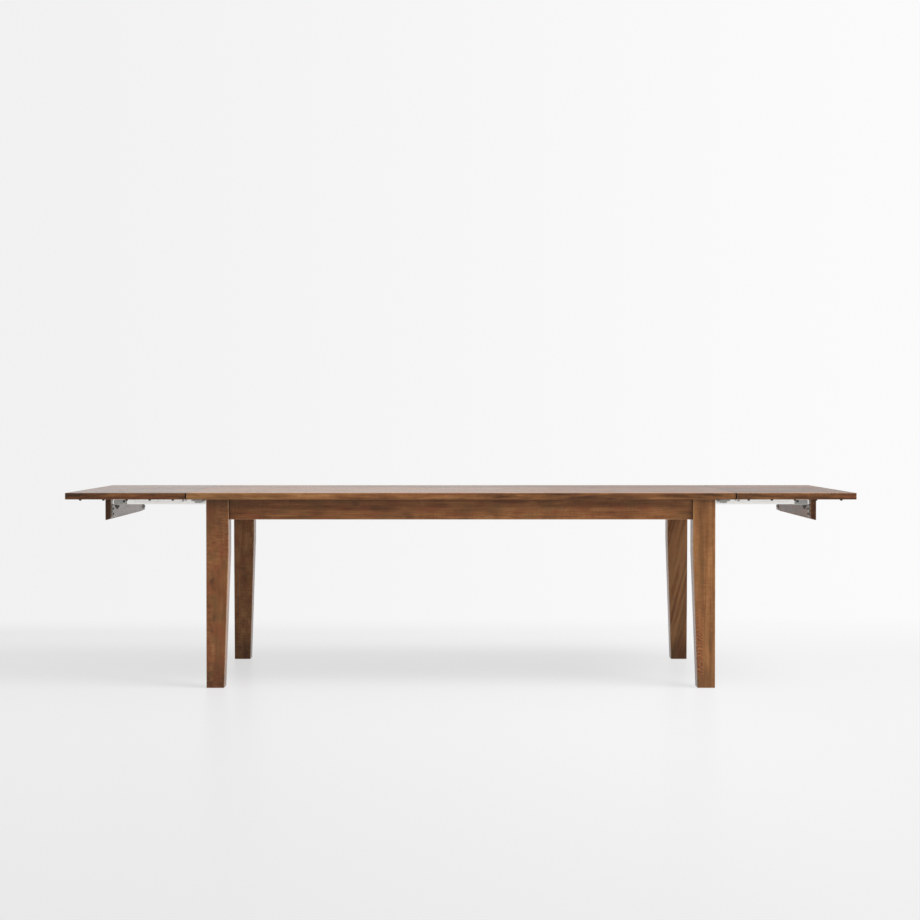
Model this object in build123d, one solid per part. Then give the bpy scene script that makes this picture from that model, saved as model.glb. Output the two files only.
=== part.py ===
"""Extendable dining table, drawn pulled out with both end leaves in place.

The origin is on the floor under the middle of the table. X runs along the length, the front is
at -Y and Z points up. Lengths are in millimetres. Pieces that repeat at the corners are drawn once,
at the right back corner, and mirrored to the other three. Those of the ends are drawn at the right end
and turned half round for the left one.
"""
import os

from build123d import *

# Table top: a fixed main panel and one leaf at each end
MAIN_LENGTH = 2083
LEAF_LENGTH = 457
DEPTH = 965
HEIGHT = 742
TOP_THICKNESS = 25
TOP_ARRIS = 2
SEAM = 2

# Legs, square at the top, with the taper on the two faces that look inward
LEG_SIZE = 85
FOOT_SIZE = 67
LEG_END_INSET = 76.5
LEG_SIDE_INSET = 6
LEG_STRAIGHT_BELOW_APRON = 122
LEG_ARRIS = 2
FOOT_CHAMFER = 1
GLIDE_DIAMETER = 30
GLIDE_HEIGHT = 1.5
GLIDE_CHAMFER = 0.5

# Aprons and rails of the fixed frame
APRON_HEIGHT = 77
APRON_THICKNESS = 24
APRON_SETBACK = 20
BOARD_ARRIS = 1.5
RAIL_THICKNESS = 22
CENTER_RAIL_HEIGHT = 60

# End aprons that pull out, with a bevelled finger grip along the inside of the bottom edge
TRAVEL = 400
END_APRON_THICKNESS = 22
END_APRON_HEIGHT = 82
END_APRON_SIDE_GAP = 6.5
END_APRON_RECESS = 1
GRIP_RISE = 8
GRIP_DEPTH = 18
UNDER_GAP = 0.5

# Telescopic runners: three aluminium bars side by side, each hung on the one before by a T tongue. The
# slots are closed at both ends, and the tongues are short, so that they stop the bars when in and out
RUNNER_HEIGHT = 22
FIXED_WIDTH = 12
MIDDLE_WIDTH = 12
MOVING_WIDTH = 14
RUN_GAP = 0.4
SLOT_LIP = 2.2
NECK_HEIGHT = 4
HEAD_HEIGHT = 9
HEAD_DEPTH = 3
RUNNER_ARRIS = 0.8
SLOT_END = 8
MOVING_SOLID_END = 87
MOVING_LENGTH = 480
MIDDLE_LENGTH = 430
MIDDLE_END_CLOSED = 863
FIXED_INNER_END = 440
FIXED_OUTER_END = 930
RUNNER_BLOCK_HEIGHT = 30
NOTCH_WIDTH = 56
NOTCH_DEPTH = 30
RUNNER_SCREW_LENGTH = 38
RUNNER_SCREW_FROM_END = 40
RUNNER_SCREW_SPACING = 190

# Bent brackets between the moving runners and the end aprons: a plate under the runner, a cheek beside
# it and a flange down the apron
BRACKET_WIDTH = 30
BRACKET_REACH = 58
BRACKET_DROP = 48
BRACKET_THICKNESS = 3
BRACKET_BEND = 2.5
BRACKET_CORNER = 5
CHEEK_HEIGHT = 20
CHEEK_RELIEF = 8
CHEEK_SCREW_REACH = 47
BRACKET_SCREW_DROP = (18, 38)
STUD_REACH = 19
STUD_IN_RUNNER = 18
STUD_BELOW = 18
WASHER_DIAMETER = 20
WASHER_THICKNESS = 2

# Corner blocks and the bolts that draw the legs in
CORNER_REACH = 100
CORNER_WIDTH = 40
CORNER_BLOCK_HEIGHT = 42
CORNER_GAP = 1
BOLT_DIAMETER = 8
BOLT_IN_LEG = 45
BOLT_LENGTH = 102
BOLT_SPACING = 22
NUT_ACROSS_FLATS = 13
NUT_HEIGHT = 6
NUT_FLANGE_DIAMETER = 17
NUT_FLANGE_HEIGHT = 2

# Clips that hold the main panel down
CLIP_SIZE = 22
CLIP_WIDTH = 20
CLIP_THICKNESS = 2
CLIP_PLACES = (-330, -110, 110, 330)
CLIP_HOLE = 14

# Leaf fittings: dowels, bumpers and the studs that the latches hook on
DOWEL_DIAMETER = 10
DOWEL_LENGTH = 40
DOWEL_PLACES = (-330, 0, 330)
DOWEL_CHAMFER = 2
SOCKET_OVERRUN = 4
BUMPER_DIAMETER = 10
BUMPER_HEIGHT = 5.5
BUMPER_ROUND = 3
BUMPER_COUNT = 5
BUMPER_SPACING = 88
BUMPER_SIDE_INSET = 28
SHIFTED_BUMPER = 3
BUMPER_SHIFT = -8

# Latches under the joints between the main panel and the leaves
LATCH_SIDE = 415
PIVOT_FROM_END = 19.5
LATCH_REACH = 40
LEVER_WIDTH = 14
LEVER_THICKNESS = 3.5
LEVER_TAIL = 8
LEVER_NOSE = 7
LEVER_DROP = 3
LEVER_ROUND = 4
TAB_FROM = 6
TAB_TO = 32
TAB_THICKNESS = 2.5
TAB_HEIGHT = 9
PIN_DIAMETER = 6
PIN_HEAD_DIAMETER = 11
PIN_HEAD_HEIGHT = 2
PIN_HEAD_GAP = 0.5
PIVOT_CLEARANCE = 0.08
HOOK_CLEARANCE = 1
PLATE_LENGTH = 34
PLATE_WIDTH = 24
PLATE_THICKNESS = 2
PLATE_ROUND = 3
PLATE_SCREW_SPACING = 22
PLATE_SCREW_SIDE = 7

# Fasteners
SCREW_HEAD_DIAMETER = 9
SCREW_HEAD_HEIGHT = 3
SCREW_DIAMETER = 4.5
SCREW_LENGTH = 14
COUNTERSINK_DIAMETER = 8.5
FASTENER_CLEARANCE = 0.1
RELIEF_CLEARANCE = 0.5
HOLE_OVERRUN = 1

# Levels and faces worked out from the sizes above
UNDERSIDE = HEIGHT - TOP_THICKNESS
MAIN_END = MAIN_LENGTH / 2
LEG_OUT_X = MAIN_END - LEG_END_INSET
LEG_IN_X = LEG_OUT_X - LEG_SIZE
LEG_OUT_Y = DEPTH / 2 - LEG_SIDE_INSET
LEG_IN_Y = LEG_OUT_Y - LEG_SIZE
APRON_BOTTOM = UNDERSIDE - APRON_HEIGHT
APRON_OUT_Y = LEG_OUT_Y - APRON_SETBACK
APRON_IN_Y = APRON_OUT_Y - APRON_THICKNESS
TAPER_START = APRON_BOTTOM - LEG_STRAIGHT_BELOW_APRON
RAIL_OUT_X = LEG_IN_X + RAIL_THICKNESS
END_APRON_OUT_X = LEG_OUT_X - END_APRON_RECESS + TRAVEL
END_APRON_IN_X = END_APRON_OUT_X - END_APRON_THICKNESS
END_APRON_TOP = UNDERSIDE - UNDER_GAP
RUNNER_TOP = UNDERSIDE - UNDER_GAP
RUNNER_BOTTOM = RUNNER_TOP - RUNNER_HEIGHT
MIDDLE_SLOT = (SLOT_END, MIDDLE_LENGTH - SLOT_END)
MOVING_SLOT = (MOVING_SOLID_END, MOVING_LENGTH - SLOT_END)
MIDDLE_OUT_Y = LEG_IN_Y - FIXED_WIDTH - RUN_GAP
MOVING_OUT_Y = MIDDLE_OUT_Y - MIDDLE_WIDTH - RUN_GAP
MOVING_MID_Y = MOVING_OUT_Y - MOVING_WIDTH / 2
CHEEK_OUT_Y = MOVING_OUT_Y + BRACKET_THICKNESS
BRACKET_IN_Y = CHEEK_OUT_Y - BRACKET_WIDTH
BRACKET_MID_Y = (BRACKET_IN_Y + MOVING_OUT_Y) / 2
BRACKET_BOTTOM = RUNNER_BOTTOM - BRACKET_THICKNESS
BOLT_BORE = BOLT_DIAMETER + 2 * FASTENER_CLEARANCE
BOLT_RELIEF = BOLT_DIAMETER + 2 * RELIEF_CLEARANCE
CORNER_TOP = UNDERSIDE - RUNNER_BLOCK_HEIGHT - CORNER_GAP
PIVOT_X = MAIN_END - PIVOT_FROM_END
LEVER_TOP = UNDERSIDE - LEVER_DROP
LEVER_BOTTOM = LEVER_TOP - LEVER_THICKNESS

# Directions at the right back corner, and the ways that shapes are set on the point they start from
UP = (0, 0, 1)
DOWN = (0, 0, -1)
OUTWARD = (1, 0, 0)
INWARD = (-1, 0, 0)
BACKWARD = (0, 1, 0)
FORWARD = (0, -1, 0)
FROM_BASE = (Align.CENTER, Align.CENTER, Align.MIN)
FROM_SIDE = (Align.MIN, Align.CENTER)


def block(x, y, z):
    """A box between three pairs of limits."""
    size = [limit[1] - limit[0] for limit in (x, y, z)]
    middle = [(limit[1] + limit[0]) / 2 for limit in (x, y, z)]
    return Pos(*middle) * Box(*size)


def at_end(shape, side):
    """A shape of the right end, turned half round when the left end is asked for."""
    return Rot(0, 0, 180) * shape if side == "left" else shape


def at_corner(shape, corner):
    """A shape of the right back corner, mirrored to the corner of the given name."""
    row, side = corner.split("_")
    placed = mirror(shape, about=Plane.YZ) if side == "left" else shape
    return mirror(placed, about=Plane.XZ) if row == "front" else placed


def rod(start, direction, diameter, length):
    """A round bar from a point along a direction."""
    bar = Cylinder(diameter / 2, length, align=FROM_BASE)
    return Plane(origin=start, z_dir=direction) * bar


def pan_screw(seat, direction, length=SCREW_LENGTH):
    """A pan-head screw whose head sits on the seat and whose shank follows the direction."""
    back = Vector(*direction) * -1
    head = rod(seat, back, SCREW_HEAD_DIAMETER, SCREW_HEAD_HEIGHT)
    return head + rod(seat, direction, SCREW_DIAMETER, length)


def screw_hole(seat, direction, length=SCREW_LENGTH):
    """The hole for the shank of a pan-head screw."""
    return rod(seat, direction, SCREW_DIAMETER + 2 * FASTENER_CLEARANCE, length + HOLE_OVERRUN)


def countersunk_screw(seat, direction, clearance=0):
    """A flat-head screw whose head is flush with the seat, or with a clearance the hole for it."""
    shank_radius = SCREW_DIAMETER / 2 + clearance
    head_radius = COUNTERSINK_DIAMETER / 2 + clearance
    head = Cone(head_radius, shank_radius, PLATE_THICKNESS, align=FROM_BASE)
    shank = rod(seat, direction, 2 * shank_radius, SCREW_LENGTH + clearance)
    return Plane(origin=seat, z_dir=direction) * head + shank


def flange_nut(seat, direction):
    """A hexagon nut for a bolt, with the flange under it on the seat."""
    flange = Cylinder(NUT_FLANGE_DIAMETER / 2, NUT_FLANGE_HEIGHT, align=FROM_BASE)
    hexagon = extrude(RegularPolygon(NUT_ACROSS_FLATS / 2, 6, major_radius=False),
                      NUT_FLANGE_HEIGHT + NUT_HEIGHT)
    bore = Cylinder(BOLT_BORE / 2, 3 * NUT_HEIGHT)
    return Plane(origin=seat, z_dir=direction) * (flange + hexagon - bore)


# Places of the fasteners at the right back corner, as the seat of the head, the direction of the
# shank and, where it isn't the usual one, the shank's length
RUNNER_SCREWS = []
for step in range(3):
    screw_x = FIXED_INNER_END + RUNNER_SCREW_FROM_END + step * RUNNER_SCREW_SPACING
    screw_seat = (screw_x, LEG_IN_Y - FIXED_WIDTH / 2, RUNNER_BOTTOM)
    RUNNER_SCREWS.append((screw_seat, UP, RUNNER_SCREW_LENGTH))
CHEEK_SCREW_SEAT = (END_APRON_IN_X - CHEEK_SCREW_REACH, CHEEK_OUT_Y, RUNNER_TOP - RUNNER_HEIGHT / 2)
CHEEK_SCREWS = [(CHEEK_SCREW_SEAT, FORWARD)]
BRACKET_SCREWS = []
for drop in BRACKET_SCREW_DROP:
    screw_seat = (END_APRON_IN_X - BRACKET_THICKNESS, BRACKET_MID_Y, RUNNER_BOTTOM - drop)
    BRACKET_SCREWS.append((screw_seat, OUTWARD))
PLATE_SCREWS = []
for way in (-1, 1):
    screw_x = PIVOT_X + way * PLATE_SCREW_SPACING / 2
    screw_seat = (screw_x, LATCH_SIDE - way * PLATE_SCREW_SIDE, UNDERSIDE - PLATE_THICKNESS)
    PLATE_SCREWS.append((screw_seat, UP))
CLIP_APRON_SCREWS = []
CLIP_TOP_SCREWS = []
for place in CLIP_PLACES:
    apron_seat = (place, APRON_IN_Y - CLIP_THICKNESS, UNDERSIDE - CLIP_HOLE)
    top_seat = (place, APRON_IN_Y - CLIP_HOLE, UNDERSIDE - CLIP_THICKNESS)
    CLIP_APRON_SCREWS.append((apron_seat, BACKWARD))
    CLIP_TOP_SCREWS.append((top_seat, UP))


def main_panel():
    """The fixed panel, with dowel sockets in both ends and screw holes below."""
    panel = Pos(0, 0, HEIGHT - TOP_THICKNESS / 2) * Box(MAIN_LENGTH, DEPTH, TOP_THICKNESS)
    panel = fillet(panel.edges(), TOP_ARRIS)
    socket_diameter = DOWEL_DIAMETER + 2 * PIVOT_CLEARANCE
    holes = []
    for place in DOWEL_PLACES:
        mouth = (MAIN_END + SEAM, place, HEIGHT - TOP_THICKNESS / 2)
        socket = rod(mouth, INWARD, socket_diameter, DOWEL_LENGTH / 2 + SOCKET_OVERRUN)
        holes += [at_end(socket, side) for side in SIDES]
    corner_holes = [screw_hole(*screw) for screw in RUNNER_SCREWS]
    corner_holes += [countersunk_screw(*screw, FASTENER_CLEARANCE) for screw in PLATE_SCREWS]
    for hole in corner_holes:
        holes += [at_corner(hole, corner) for corner in CORNERS]
    for hole in [screw_hole(*screw) for screw in CLIP_TOP_SCREWS]:
        holes += [at_corner(hole, corner) for corner in ("back_right", "front_right")]
    return panel - holes


def leg():
    """One leg: a ruled solid through squares that share the outer corner, chamfered at the foot."""
    outlines = (
        (UNDERSIDE, LEG_SIZE, 0),
        (TAPER_START, LEG_SIZE, 0),
        (GLIDE_HEIGHT + FOOT_CHAMFER, FOOT_SIZE, 0),
        (GLIDE_HEIGHT, FOOT_SIZE, FOOT_CHAMFER),
    )
    sections = []
    for level, size, inset in outlines:
        square = RectangleRounded(size - 2 * inset, size - 2 * inset, LEG_ARRIS)
        sections.append(Pos(LEG_OUT_X - size / 2, LEG_OUT_Y - size / 2, level) * square)
    return loft(sections, ruled=True) - bolt_shapes(BOLT_BORE, BOLT_IN_LEG + HOLE_OVERRUN)


def bolt_levels():
    """Heights of the two bolts of a leg, in the middle of its corner block."""
    middle = CORNER_TOP - CORNER_BLOCK_HEIGHT / 2
    return (middle - BOLT_SPACING / 2, middle + BOLT_SPACING / 2)


def bolt_shapes(diameter, depth):
    """Two round bars that run diagonally out of a leg's inner corner, from a depth inside it."""
    bars = []
    for level in bolt_levels():
        start = (LEG_IN_X + depth / 2**0.5, LEG_IN_Y + depth / 2**0.5, level)
        bars.append(rod(start, (-1, -1, 0), diameter, BOLT_LENGTH))
    return bars


def long_apron():
    """The back apron, between the back legs."""
    board = block(
        (-LEG_IN_X, LEG_IN_X), (APRON_IN_Y, APRON_OUT_Y), (APRON_BOTTOM, UNDERSIDE)
    )
    lower_edges = board.edges().filter_by(Axis.X).group_by(Axis.Z)[0]
    board = chamfer(lower_edges, BOARD_ARRIS)
    return board - [screw_hole(*screw) for screw in CLIP_APRON_SCREWS]


def cross_rail():
    """The fixed rail between the right legs, cut out over the runners and round the leg bolts."""
    rail = block(
        (LEG_IN_X, RAIL_OUT_X), (-LEG_IN_Y, LEG_IN_Y), (APRON_BOTTOM, UNDERSIDE)
    )
    rail = chamfer(rail.edges().filter_by(Axis.Y).group_by(Axis.Z)[0], BOARD_ARRIS)
    notch = block(
        (LEG_IN_X, RAIL_OUT_X),
        (LEG_IN_Y - NOTCH_WIDTH, LEG_IN_Y),
        (UNDERSIDE - NOTCH_DEPTH, UNDERSIDE),
    )
    cuts = [notch] + bolt_shapes(BOLT_RELIEF, BOLT_IN_LEG)
    return rail - cuts - [mirror(cut, about=Plane.XZ) for cut in cuts]


def center_rail():
    """The rail across the middle of the frame, under the main panel."""
    half = RAIL_THICKNESS / 2
    rail = block(
        (-half, half), (-APRON_IN_Y, APRON_IN_Y), (UNDERSIDE - CENTER_RAIL_HEIGHT, UNDERSIDE)
    )
    return chamfer(rail.edges().filter_by(Axis.Y).group_by(Axis.Z)[0], BOARD_ARRIS)


def runner_block():
    """The packing piece that carries a fixed runner off the long apron."""
    bottom = UNDERSIDE - RUNNER_BLOCK_HEIGHT
    return block((FIXED_INNER_END, LEG_IN_X), (LEG_IN_Y, APRON_IN_Y), (bottom, UNDERSIDE))


def runner(outer_face, outer_end, length, width, slot=None, tongue=None, rise=0):
    """A runner bar with a T slot in the side away from the middle and a T tongue on the other side.

    The slot and the tongue each run between two distances from the bar's outer end.
    """
    middle = RUNNER_TOP - RUNNER_HEIGHT / 2

    def length_of(section, start, end):
        origin = (outer_end - start, outer_face, middle)
        frame = Plane(origin=origin, x_dir=(0, -1, 0), z_dir=(1, 0, 0))
        return extrude(frame * section, start - end)

    outline = Rectangle(width, RUNNER_HEIGHT + rise, align=FROM_SIDE)
    bar = length_of(Pos(0, -rise / 2) * fillet(outline.vertices(), RUNNER_ARRIS), 0, length)
    if slot:
        mouth = Rectangle(2 * SLOT_LIP, NECK_HEIGHT + 2 * RUN_GAP)
        cavity = Rectangle(HEAD_DEPTH + 2 * RUN_GAP, HEAD_HEIGHT + 2 * RUN_GAP, align=FROM_SIDE)
        bar -= length_of(mouth + Pos(SLOT_LIP, 0) * cavity, *slot)
    if tongue:
        neck_length = SLOT_LIP + 2 * RUN_GAP
        neck = Rectangle(neck_length, NECK_HEIGHT, align=FROM_SIDE)
        head = Rectangle(HEAD_DEPTH, HEAD_HEIGHT, align=FROM_SIDE)
        bar += length_of(Pos(width, 0) * neck + Pos(width + neck_length, 0) * head, *tongue)
    return bar


def tongue_range(bar_end, next_end, slot):
    """Where a bar's tongue lies, so that it meets the ends of the next bar's slot when in and out.

    The ends of both bars are given as they are when the table is pushed in.
    """
    first, last = slot
    return (
        bar_end - next_end + first + RUN_GAP,
        bar_end - next_end + last - RUN_GAP - TRAVEL / 2,
    )


def fixed_runner():
    """The runner bar that is screwed up against the main panel, beside the leg."""
    length = FIXED_OUTER_END - FIXED_INNER_END
    tongue = tongue_range(FIXED_OUTER_END, MIDDLE_END_CLOSED, MIDDLE_SLOT)
    bar = runner(LEG_IN_Y, FIXED_OUTER_END, length, FIXED_WIDTH, tongue=tongue, rise=UNDER_GAP)
    return bar - [screw_hole(*screw) for screw in RUNNER_SCREWS]


def middle_runner():
    """The runner bar between the fixed one and the moving one, half way out."""
    outer_end = MIDDLE_END_CLOSED + TRAVEL / 2
    tongue = tongue_range(MIDDLE_END_CLOSED, END_APRON_IN_X - TRAVEL, MOVING_SLOT)
    return runner(MIDDLE_OUT_Y, outer_end, MIDDLE_LENGTH, MIDDLE_WIDTH, MIDDLE_SLOT, tongue)


def moving_runner():
    """The runner bar that ends at the pulled-out end apron, solid where its bracket is fastened."""
    bar = runner(MOVING_OUT_Y, END_APRON_IN_X, MOVING_LENGTH, MOVING_WIDTH, MOVING_SLOT)
    bar -= stud(BOLT_BORE, STUD_IN_RUNNER + HOLE_OVERRUN)
    return bar - [screw_hole(*screw) for screw in CHEEK_SCREWS]


def stud(diameter, height):
    """An upright bar through a bracket, from below its nut to a height in the moving runner."""
    foot = (END_APRON_IN_X - STUD_REACH, MOVING_MID_Y, RUNNER_BOTTOM - STUD_BELOW)
    return rod(foot, UP, diameter, STUD_BELOW + height)


def stud_set():
    """The threaded stud under a moving runner, with the washer and nut that hold its bracket up."""
    seat = (END_APRON_IN_X - STUD_REACH, MOVING_MID_Y, BRACKET_BOTTOM)
    nut_seat = (*seat[:2], BRACKET_BOTTOM - WASHER_THICKNESS)
    washer = rod(seat, DOWN, WASHER_DIAMETER, WASHER_THICKNESS)
    washer -= stud(BOLT_BORE, STUD_IN_RUNNER)
    return [stud(BOLT_DIAMETER, STUD_IN_RUNNER), washer, flange_nut(nut_seat, DOWN)]


def end_apron():
    """The right end apron, whose bottom edge is bevelled on the inside as a finger grip."""
    bottom = END_APRON_TOP - END_APRON_HEIGHT
    outline = Polyline(
        (END_APRON_IN_X, END_APRON_TOP),
        (END_APRON_OUT_X, END_APRON_TOP),
        (END_APRON_OUT_X, bottom),
        (END_APRON_IN_X + GRIP_DEPTH, bottom),
        (END_APRON_IN_X, bottom + GRIP_RISE),
        close=True,
    )
    half_length = LEG_IN_Y - END_APRON_SIDE_GAP
    board = extrude(Plane.XZ * make_face(outline), half_length, both=True)
    board = chamfer(board.faces().sort_by(Axis.X)[-1].edges(), BOARD_ARRIS)
    holes = []
    for hole in [screw_hole(*screw) for screw in BRACKET_SCREWS]:
        holes += [hole, mirror(hole, about=Plane.XZ)]
    return board - holes


def bracket():
    """A bent steel plate under the moving runner's end, with its cheek and the flange down the apron."""
    inner_end = END_APRON_IN_X - BRACKET_REACH
    width = (BRACKET_IN_Y, MOVING_OUT_Y)
    plate = block((inner_end, END_APRON_IN_X), width, (BRACKET_BOTTOM, RUNNER_BOTTOM))
    plate += block((inner_end, END_APRON_IN_X - CHEEK_RELIEF), (MOVING_OUT_Y, CHEEK_OUT_Y),
                   (BRACKET_BOTTOM, BRACKET_BOTTOM + CHEEK_HEIGHT))
    plate += block((END_APRON_IN_X - BRACKET_THICKNESS, END_APRON_IN_X), width,
                   (RUNNER_BOTTOM - BRACKET_DROP, RUNNER_BOTTOM))
    bends = plate.edges().filter_by(Axis.Y).group_by(Axis.X)[-1].sort_by(Axis.Z)[-1:]
    bends += plate.edges().filter_by(Axis.X).group_by(Axis.Y)[-1].sort_by(Axis.Z)[:1]
    plate = fillet(bends, BRACKET_BEND)
    free_corners = plate.edges().filter_by(Axis.X).group_by(Axis.Z)[0]
    free_corners += plate.edges().filter_by(Axis.Y).group_by(Axis.Z)[-1]
    free_corners += plate.edges().filter_by(Axis.Z).group_by(Axis.X)[0].sort_by(Axis.Y)[:1]
    plate = fillet(free_corners, BRACKET_CORNER)
    plate -= stud(BOLT_BORE, STUD_IN_RUNNER)
    return plate - [screw_hole(*screw) for screw in CHEEK_SCREWS + BRACKET_SCREWS]


def corner_block():
    """The diagonal block behind a leg, drilled for the leg's two bolts."""
    outline = Polyline(
        (LEG_IN_X - CORNER_REACH, APRON_IN_Y),
        (LEG_IN_X - CORNER_REACH + CORNER_WIDTH, APRON_IN_Y),
        (LEG_IN_X, APRON_IN_Y - CORNER_REACH + CORNER_WIDTH),
        (LEG_IN_X, APRON_IN_Y - CORNER_REACH),
        close=True,
    )
    shape = extrude(make_face(outline), CORNER_BLOCK_HEIGHT)
    shape = Pos(0, 0, CORNER_TOP - CORNER_BLOCK_HEIGHT) * shape
    return shape - bolt_shapes(BOLT_RELIEF, BOLT_IN_LEG)


def leg_nuts():
    """The two nuts that draw a leg against its corner block."""
    to_block = (APRON_IN_Y - CORNER_REACH - LEG_IN_Y) / 2
    inward = (-1, -1, 0)
    return [
        flange_nut((LEG_IN_X + to_block, LEG_IN_Y + to_block, level), inward)
        for level in bolt_levels()
    ]


def clips():
    """The steel angles that hold the main panel to the back apron."""
    outline = Polyline(
        (APRON_IN_Y, UNDERSIDE),
        (APRON_IN_Y, UNDERSIDE - CLIP_SIZE),
        (APRON_IN_Y - CLIP_THICKNESS, UNDERSIDE - CLIP_SIZE),
        (APRON_IN_Y - CLIP_THICKNESS, UNDERSIDE - CLIP_THICKNESS),
        (APRON_IN_Y - CLIP_SIZE, UNDERSIDE - CLIP_THICKNESS),
        (APRON_IN_Y - CLIP_SIZE, UNDERSIDE),
        close=True,
    )
    angle = extrude(Plane.YZ * make_face(outline), CLIP_WIDTH / 2, both=True)
    holes = [screw_hole(*screw) for screw in CLIP_APRON_SCREWS + CLIP_TOP_SCREWS]
    return [Pos(place, 0, 0) * angle - holes for place in CLIP_PLACES]


def glide():
    """The nylon disc nailed under a foot."""
    disc = Cylinder(GLIDE_DIAMETER / 2, GLIDE_HEIGHT, align=FROM_BASE)
    disc = chamfer(disc.edges().sort_by(Axis.Z)[0], GLIDE_CHAMFER)
    return Pos(LEG_OUT_X - FOOT_SIZE / 2, LEG_OUT_Y - FOOT_SIZE / 2, 0) * disc


def leaf():
    """The right leaf, drilled for its dowels and for the studs of its latches."""
    length = LEAF_LENGTH - SEAM
    panel = Pos(MAIN_END + SEAM + length / 2, 0, HEIGHT - TOP_THICKNESS / 2) * Box(
        length, DEPTH, TOP_THICKNESS
    )
    panel = fillet(panel.edges(), TOP_ARRIS)
    for place in DOWEL_PLACES:
        mouth = (MAIN_END, place, HEIGHT - TOP_THICKNESS / 2)
        bore = DOWEL_DIAMETER + 2 * FASTENER_CLEARANCE
        panel -= rod(mouth, OUTWARD, bore, SEAM + DOWEL_LENGTH / 2 + FASTENER_CLEARANCE)
    for stud_y in (-LATCH_SIDE, LATCH_SIDE):
        start = (PIVOT_X + LATCH_REACH, stud_y, UNDERSIDE)
        panel -= rod(start, UP, PIN_DIAMETER + 2 * FASTENER_CLEARANCE, SCREW_LENGTH + HOLE_OVERRUN)
    return panel


def dowels():
    """The dowels in the right leaf's inner edge, which stand into the main panel's sockets."""
    pins = []
    for place in DOWEL_PLACES:
        start = (MAIN_END + SEAM - DOWEL_LENGTH / 2, place, HEIGHT - TOP_THICKNESS / 2)
        pin = rod(start, OUTWARD, DOWEL_DIAMETER, DOWEL_LENGTH)
        pins.append(chamfer(pin.edges().sort_by(Axis.X)[0], DOWEL_CHAMFER))
    return pins


def bumpers():
    """The rubber buttons under both long edges of the right leaf, one in the front row closer in."""
    button = Cylinder(BUMPER_DIAMETER / 2, BUMPER_HEIGHT,
                      align=(Align.CENTER, Align.CENTER, Align.MAX))
    button = fillet(button.edges().sort_by(Axis.Z)[0], BUMPER_ROUND)
    middle = MAIN_END + LEAF_LENGTH / 2
    side = DEPTH / 2 - BUMPER_SIDE_INSET
    buttons = []
    for index in range(BUMPER_COUNT):
        place = middle + (index - (BUMPER_COUNT - 1) / 2) * BUMPER_SPACING
        front_place = place + BUMPER_SHIFT if index == SHIFTED_BUMPER else place
        buttons.append(Pos(front_place, -side, UNDERSIDE) * button)
        buttons.append(Pos(place, side, UNDERSIDE) * button)
    return buttons


def latch_studs():
    """The headed studs under the right leaf that the latch levers hook on."""
    studs = []
    head_top = LEVER_BOTTOM - PIN_HEAD_GAP
    for y in (-LATCH_SIDE, LATCH_SIDE):
        foot = (PIVOT_X + LATCH_REACH, y, head_top - PIN_HEAD_HEIGHT)
        shank_length = UNDERSIDE + SCREW_LENGTH - head_top + PIN_HEAD_HEIGHT
        studs.append(rod(foot, UP, PIN_HEAD_DIAMETER, PIN_HEAD_HEIGHT)
                     + rod(foot, UP, PIN_DIAMETER, shank_length))
    return studs


def latch_pivot():
    """The plate under the main panel with the riveted pin that a latch lever turns on."""
    plate = block(
        (PIVOT_X - PLATE_LENGTH / 2, PIVOT_X + PLATE_LENGTH / 2),
        (LATCH_SIDE - PLATE_WIDTH / 2, LATCH_SIDE + PLATE_WIDTH / 2),
        (UNDERSIDE - PLATE_THICKNESS, UNDERSIDE),
    )
    plate = fillet(plate.edges().filter_by(Axis.Z), PLATE_ROUND)
    plate -= [countersunk_screw(*screw, FASTENER_CLEARANCE) for screw in PLATE_SCREWS]
    foot = (PIVOT_X, LATCH_SIDE, LEVER_BOTTOM - PIN_HEAD_GAP - PIN_HEAD_HEIGHT)
    head = rod(foot, UP, PIN_HEAD_DIAMETER, PIN_HEAD_HEIGHT)
    return plate + head + rod(foot, UP, PIN_DIAMETER, UNDERSIDE - foot[2])


def latch_lever():
    """A hooked lever with a finger tab, drawn swung back from the leaf."""
    bar = block((-LEVER_TAIL, LATCH_REACH + LEVER_NOSE),
                (-LEVER_WIDTH / 2, LEVER_WIDTH / 2), (LEVER_BOTTOM, LEVER_TOP))
    bar = fillet(bar.edges().filter_by(Axis.Z), LEVER_ROUND)
    bar += block((TAB_FROM, TAB_TO), (LEVER_WIDTH / 2 - TAB_THICKNESS, LEVER_WIDTH / 2),
                 (LEVER_BOTTOM - TAB_HEIGHT, LEVER_TOP))
    hook_half = PIN_DIAMETER / 2 + HOOK_CLEARANCE
    middle = (LEVER_TOP + LEVER_BOTTOM) / 2
    hook = Pos(LATCH_REACH, 0, middle) * Cylinder(hook_half, 2 * LEVER_THICKNESS)
    hook += block((LATCH_REACH - hook_half, LATCH_REACH + hook_half), (0, LEVER_WIDTH),
                  (LEVER_BOTTOM - HOLE_OVERRUN, LEVER_TOP + HOLE_OVERRUN))
    pivot = Pos(0, 0, middle) * Cylinder(PIN_DIAMETER / 2 + PIVOT_CLEARANCE, 2 * LEVER_THICKNESS)
    lever = mirror(bar - hook - pivot, about=Plane.YZ)
    return Pos(PIVOT_X, LATCH_SIDE, 0) * lever


SIDES = ("left", "right")
CORNERS = ("front_left", "front_right", "back_left", "back_right")
LONG_SIDES = {"back": "back_right", "front": "front_right"}

nodes = {"main_top": main_panel(), "center_rail": center_rail()}

for row, corner in LONG_SIDES.items():
    nodes[f"{row}_apron"] = at_corner(long_apron(), corner)

corner_pieces = {
    "leg": leg(),
    "foot_glide": glide(),
    "corner_block": corner_block(),
    "runner_block": runner_block(),
    "fixed_runner": fixed_runner(),
    "middle_runner": middle_runner(),
    "moving_runner": moving_runner(),
    "bracket": bracket(),
    "latch_lever": latch_lever(),
}
for corner in CORNERS:
    for name, piece in corner_pieces.items():
        nodes[f"{corner}_{name}"] = at_corner(piece, corner)

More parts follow.
